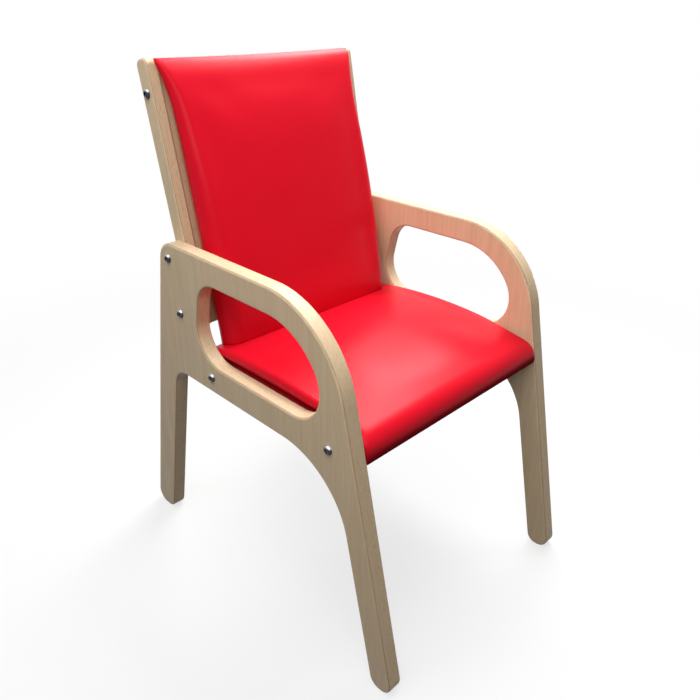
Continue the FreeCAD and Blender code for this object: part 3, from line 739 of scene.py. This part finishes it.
def back_row(way):
    """Flare and depth shares at a share of the back's height."""
    last = len(BACK_ROWS) - 1
    i = next((n for n in range(last) if way <= BACK_ROWS[n + 1][0]), last - 1)
    low, high = BACK_ROWS[i], BACK_ROWS[i + 1]
    before, after = BACK_ROWS[max(i - 1, 0)], BACK_ROWS[min(i + 2, last)]
    gap = high[0] - low[0]
    t = (way - low[0]) / gap
    found = []
    for n in (1, 2):
        rise = (high[n] - before[n]) / (high[0] - before[0]) * gap
        fall = (after[n] - low[n]) / (after[0] - low[0]) * gap
        ends = low[n] * (1 + 2 * t) * (1 - t) ** 2 + high[n] * t * t * (3 - 2 * t)
        found.append(ends + rise * t * (1 - t) ** 2 + fall * t * t * (t - 1))
    return found


def back_point(back, a, b, c):
    """Maps the block to the upright back: a across, b from the front to the rear, c from low to high."""
    way = 1 - ((1 - c) / 2) ** BACK_ROW_CROWDING
    flare, deep = back_row(way)
    half = back.half_width + flare * back.flare
    edge = BACK_REAR + back.depth * deep
    bulge, thick = back.bulge * deep, edge - BACK_REAR
    roll = bulge + thick - math.sqrt(2 * bulge * thick)
    inside, level = half + bulge - roll, edge - roll
    t, near = abs(a), (1 - b) / 2
    if t <= BACK_ROLL_FROM:
        s = t / BACK_ROLL_FROM
        x, forward = inside * s, edge + back.crown * deep * (1 - s * s)
    else:
        turn = (1 - t) / (1 - BACK_ROLL_FROM) * math.pi / 2
        if t > ON_SIDE:
            turn = math.atan2(BACK_REAR - level, half - inside) * (1 - near)
        x, forward = inside + roll * math.cos(turn), level + roll * math.sin(turn)
    if b < -ON_SIDE and t <= ON_SIDE:
        fall = back.slack * eased(way, *BACK_SLACK_LOW) * (1 - eased(way, *BACK_SLACK_TOP))
        forward -= fall * eased(1 - t, *BACK_SLACK_SIDE)
    if t <= ON_SIDE:
        x, forward = half * t + (x - half * t) * near, BACK_REAR + (forward - BACK_REAR) * near
    up = way * (back.top + back.drop) - back.drop
    up -= back.dip * (1 - (x / half) ** 2) * eased(way, BACK_DIP_FROM, 1.0)
    return Vector((math.copysign(x, a) - back.shift, -forward, up))


def back_held(a, b):
    """Whether the back's cover can't swell there: towards its rear and at its sides."""
    return b > BACK_HELD_BEHIND or abs(a) > ON_SIDE


def leaned(back, point):
    """Places a point of the upright back on the leaning posts."""
    turned = Matrix.Rotation(-back.recline, 4, "X") @ (point - Vector((0, POST_DEPTH / 2, 0)))
    return turned + Vector((0, BACK_BOLT.y, BACK_BOLT.z))


def apply_alone(piece, modifier):
    """Applies a modifier with only its piece selected."""
    bpy.ops.object.select_all(action="DESELECT")
    piece.select_set(True)
    bpy.context.view_layer.objects.active = piece
    bpy.ops.object.modifier_apply(modifier=modifier.name)


def evened(piece, lift, held):
    """Smooths the lift of a cover's loose points over their neighbours."""
    beside = [[] for _ in lift]
    for edge in piece.data.edges:
        one, two = edge.vertices
        beside[one].append(two)
        beside[two].append(one)
    for _ in range(SMOOTHING_PASSES):
        around = [sum(lift[n] for n in near) / len(near) for near in beside]
        lift = [
            0.0 if fixed else SMOOTHING_KEEPS * rise + (1 - SMOOTHING_KEEPS) * mean
            for rise, mean, fixed in zip(lift, around, held)
        ]
    return lift


def swell(piece, held, cap):
    """Blows the loose cover up against its held edge with a short cloth run, and keeps the moves small."""
    scene = bpy.context.scene
    start = [point.co.copy() for point in piece.data.vertices]
    group = piece.vertex_groups.new(name="held")
    for index, fixed in enumerate(held):
        group.add([index], float(fixed), "REPLACE")
    cloth = piece.modifiers.new("Swell", "CLOTH")
    for key, value in CLOTH.items():
        setattr(cloth.settings, key, value)
    cloth.settings.vertex_group_mass = group.name
    cloth.settings.effector_weights.gravity = 0.0
    cloth.point_cache.frame_start, cloth.point_cache.frame_end = 1, CLOTH_FRAMES
    for step in range(1, CLOTH_FRAMES + 1):
        scene.frame_set(step)
    apply_alone(piece, cloth)
    scene.frame_set(1)

    # Only the outward part of each move is kept, capped and smoothed
    points = piece.data.vertices
    grown = [point.co.copy() for point in points]
    for point, before in zip(points, start):
        point.co = before
    piece.data.update()
    outward = [point.normal.copy() for point in points]
    lift = [max(0.0, (g - s).dot(n)) for g, s, n in zip(grown, start, outward)]
    lift = [0.0 if fixed else cap * math.tanh(rise / cap) for rise, fixed in zip(lift, held)]
    for point, before, n, rise in zip(points, start, outward, evened(piece, lift, held)):
        point.co = before + n * rise
    piece.vertex_groups.clear()


def smoothed(piece):
    """Adds one level of subdivision and smooth shading."""
    finer = piece.modifiers.new("Finer", "SUBSURF")
    finer.levels = finer.render_levels = 1
    apply_alone(piece, finer)
    bpy.ops.object.shade_smooth()


# Stage

def soft_box(name, place, target, size, watts):
    """A rectangular lamp that the camera doesn't see."""
    lamp = bpy.data.lights.new(name, "AREA")
    lamp.shape = "RECTANGLE"
    lamp.size, lamp.size_y = size
    lamp.energy = watts
    holder = bpy.data.objects.new(name, lamp)
    bpy.context.scene.collection.objects.link(holder)
    holder.visible_camera = False
    holder.location = place
    holder.rotation_euler = (Vector(target) - Vector(place)).to_track_quat("-Z", "Y").to_euler()


def seen_directly(tree):
    """1 where the camera, a reflection or a clear surface sees the stage, 0 for the light that it throws."""
    path = node(tree, "LightPath").outputs
    mirrored = maths(tree, "MAXIMUM", path["Is Glossy Ray"], path["Is Transmission Ray"])
    return maths(tree, "MAXIMUM", path["Is Camera Ray"], mirrored)


def mixed(tree, amount, first, second):
    """Mixes two shaders."""
    return node(tree, "MixShader", {0: amount, 1: first.outputs[0], 2: second.outputs[0]})


def lay_floor(scene):
    """Pale floor that holds the chair's shadow and turns white away from it."""
    stage = scene.chair_stage
    bpy.ops.object.select_all(action="DESELECT")
    bpy.ops.mesh.primitive_plane_add(size=FLOOR_SIZE, location=(0, 0, 0))
    floor = bpy.context.object
    floor.name = "floor"
    made, tree = new_material("Floor")
    matt = node(tree, "BsdfDiffuse", {"Color": (*stage.floor, 1.0)})
    bounce = node(tree, "BsdfDiffuse", {"Color": (*stage.bounce, 1.0)})
    glow = node(tree, "Emission", {"Color": WHITE, "Strength": 1.0})
    at = node(tree, "TexCoord").outputs["Object"]
    away = node(tree, "VectorMath", {0: at}, operation="LENGTH").outputs["Value"]
    shown = mixed(tree, ramped(tree, away, *FLOOR_RAMP), matt, glow)
    both = mixed(tree, seen_directly(tree), bounce, shown)
    node(tree, "OutputMaterial", {"Surface": both.outputs[0]})
    floor.data.materials.append(made)


def light_room(scene):
    """Even light, weaker from below, in front of a plain white background."""
    stage = scene.chair_stage
    room = bpy.data.worlds.new("Room")
    scene.world = room
    room.use_nodes = True
    tree = room.node_tree
    tree.nodes.clear()
    upward = parts(tree, node(tree, "TexCoord").outputs["Generated"])[2]
    strength = maths(tree, "MULTIPLY", ramped(tree, upward, *ROOM_RAMP), stage.room)
    even = node(tree, "Background", {"Color": (*stage.tint, 1.0), "Strength": strength})
    white = node(tree, "Background", {"Color": WHITE, "Strength": 1.0})
    both = mixed(tree, seen_directly(tree), even, white)
    node(tree, "OutputWorld", {"Surface": both.outputs[0]})


def place_camera(scene):
    """Camera at the photograph's place and angle."""
    camera = bpy.data.cameras.new("camera")
    camera.sensor_width = CAMERA_SENSOR
    camera.lens = CAMERA_LENS
    holder = bpy.data.objects.new("camera", camera)
    scene.collection.objects.link(holder)
    right, down, ahead = Vector(CAMERA_RIGHT), Vector(CAMERA_DOWN), Vector(CAMERA_AHEAD)
    turn = Matrix((right, -down, -ahead)).transposed()
    holder.matrix_world = Matrix.Translation(CAMERA_PLACE) @ turn.to_4x4()
    scene.camera = holder


# Operators

class CHAIR_OT_side_frames(bpy.types.Operator):
    """Finishes the two shaped plywood side frames"""
    bl_idname = "chair.side_frames"
    bl_label = "Side frames"

    def execute(self, context):
        wood = context.scene.chair_wood
        ply = plywood("Frame plywood", FRAME_LOW.x, FRAME_HIGH.x, wood.frame_sheets)
        dress(ply, "side_frame_right", "side_frame_left")
        return {"FINISHED"}


class CHAIR_OT_back_supports(bpy.types.Operator):
    """Finishes the posts, cleats, rails and dowels that carry the back"""
    bl_idname = "chair.back_supports"
    bl_label = "Back supports"

    def execute(self, context):
        wood, back = context.scene.chair_wood, context.scene.chair_back
        post = plywood("Post plywood", POST_LOW.x, POST_HIGH.x, wood.post_sheets)
        dress(post, "back_post_right", "back_post_left")
        # the cleats get painted shade
        cleat = plywood("Cleat plywood", CLEAT_LOW.x, CLEAT_HIGH.x, wood.cleat_sheets, painted_shade=wood.cleat_shade)
        dress(cleat, "back_cleat_right", "back_cleat_left")
        bolt = Matrix.Rotation(back.recline, 3, "X") @ Vector((0, BACK_BOLT.y, BACK_BOLT.z))
        front = bolt.y - POST_DEPTH / 2
        rail = plywood("Rail plywood", front, front + RAIL_DEPTH, wood.rail_sheets, lean=back.recline)
        dress(rail, "back_lower_rail", "back_middle_rail", "back_upper_rail")
        dress(turned_dowel("Dowel beech"), "rail_dowels")
        return {"FINISHED"}


class CHAIR_OT_fasteners(bpy.types.Operator):
    """Finishes the bolts, barrel nuts, screws and staples"""
    bl_idname = "chair.fasteners"
    bl_label = "Fasteners"

    def execute(self, context):
        metal = context.scene.chair_metal
        # the bolts get a painted highlight on their upper rims
        bolt = plated_steel("Bolt steel", metal.bolt, BOLT_MARKS, metal.rim)
        dress(bolt, "seat_bolts", "frame_bolts", "post_bolts")
        zinc = plated_steel("Zinc steel", metal.zinc, ZINC_MARKS)
        dress(zinc, "seat_barrel_nuts", "rail_barrel_nuts", "cleat_screws", "board_screws")
        dress(zinc, "seat_staples", "back_staples")
        return {"FINISHED"}


class CHAIR_OT_boards_and_linings(bpy.types.Operator):
    """Finishes the boards inside the cushions and the black linings over their rear"""
    bl_idname = "chair.boards_and_linings"
    bl_label = "Boards and linings"

    def execute(self, context):
        dress(raw_board("Cushion board"), "seat_board", "back_board")
        dress(felt_lining("Black lining"), "seat_lining", "back_lining")
        return {"FINISHED"}


class CHAIR_OT_seat_cushion(bpy.types.Operator):
    """Upholsters the seat"""
    bl_idname = "chair.seat_cushion"
    bl_label = "Seat cushion"

    def execute(self, context):
        seat = context.scene.chair_seat
        piece = cut_block("seat_cushion", SEAT_CUTS, SEAT_HARD_SIDES)
        held = [seat_held(*vertex.co) for vertex in piece.data.vertices]
        for vertex in piece.data.vertices:
            vertex.co = seat_point(seat, *vertex.co)
        swell(piece, held, seat.swell)
        for vertex in piece.data.vertices:
            vertex.co.x = max(-SEAT_HIGH.x, min(SEAT_HIGH.x, vertex.co.x))
        smoothed(piece)
        # the seat's vinyl carries painted shade on its hem
        piece.data.materials.append(red_vinyl("Hemmed red vinyl", hem=True))
        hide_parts("seat_cover", "seat_foam")
        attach(piece, "root")
        return {"FINISHED"}


class CHAIR_OT_back_cushion(bpy.types.Operator):
    """Upholsters the back"""
    bl_idname = "chair.back_cushion"
    bl_label = "Back cushion"

    def execute(self, context):
        back = context.scene.chair_back
        piece = cut_block("back_cushion", BACK_CUTS, BACK_HARD_SIDES)
        held = [back_held(vertex.co.x, vertex.co.y) for vertex in piece.data.vertices]
        for vertex in piece.data.vertices:
            vertex.co = leaned(back, back_point(back, *vertex.co))
        swell(piece, held, back.swell)
        smoothed(piece)
        piece.data.materials.append(red_vinyl("Red vinyl"))
        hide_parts("back_cover", "back_foam")
        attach(piece, "root")
        return {"FINISHED"}


class CHAIR_OT_stage(bpy.types.Operator):
    """Sets the pale floor, the soft lights and the camera"""
    bl_idname = "chair.stage"
    bl_label = "Stage"

    def execute(self, context):
        scene = context.scene
        lay_floor(scene)
        light_room(scene)
        for name, (place, target, size) in LAMPS.items():
            soft_box(name + "_light", place, target, size, getattr(scene.chair_stage, name))
        place_camera(scene)
        scene.view_settings.view_transform = "Standard"
        return {"FINISHED"}


OPERATORS = (
    CHAIR_OT_side_frames,
    CHAIR_OT_back_supports,
    CHAIR_OT_fasteners,
    CHAIR_OT_boards_and_linings,
    CHAIR_OT_seat_cushion,
    CHAIR_OT_back_cushion,
    CHAIR_OT_stage,
)

SETTINGS = {
    "chair_wood": WoodSettings,
    "chair_vinyl": VinylSettings,
    "chair_metal": MetalSettings,
    "chair_lining": LiningSettings,
    "chair_seat": SeatSettings,
    "chair_back": BackSettings,
    "chair_stage": StageSettings,
}


class CHAIR_PT_panel(bpy.types.Panel):
    """Sizes and colours of the chair, and the buttons that finish it piece by piece"""
    bl_idname = "CHAIR_PT_panel"
    bl_label = "School Armchair"
    bl_space_type = "VIEW_3D"
    bl_region_type = "UI"
    bl_category = "Chair"

    def draw(self, context):
        for name, kind in SETTINGS.items():
            box = self.layout.box()
            for setting in kind.__annotations__:
                box.prop(getattr(context.scene, name), setting)
        for kind in OPERATORS:
            self.layout.operator(kind.bl_idname)


def register():
    for name, kind in SETTINGS.items():
        bpy.utils.register_class(kind)
        setattr(bpy.types.Scene, name, PointerProperty(type=kind))
    for kind in (*OPERATORS, CHAIR_PT_panel):
        bpy.utils.register_class(kind)


def unregister():
    for kind in (CHAIR_PT_panel, *reversed(OPERATORS)):
        bpy.utils.unregister_class(kind)
    for name, kind in SETTINGS.items():
        delattr(bpy.types.Scene, name)
        bpy.utils.unregister_class(kind)


def main():
    register()
    bpy.ops.chair.side_frames()
    bpy.ops.chair.back_supports()
    bpy.ops.chair.fasteners()
    bpy.ops.chair.boards_and_linings()
    bpy.ops.chair.seat_cushion()
    bpy.ops.chair.back_cushion()
    bpy.ops.chair.stage()


if __name__ == "__main__":
    main()
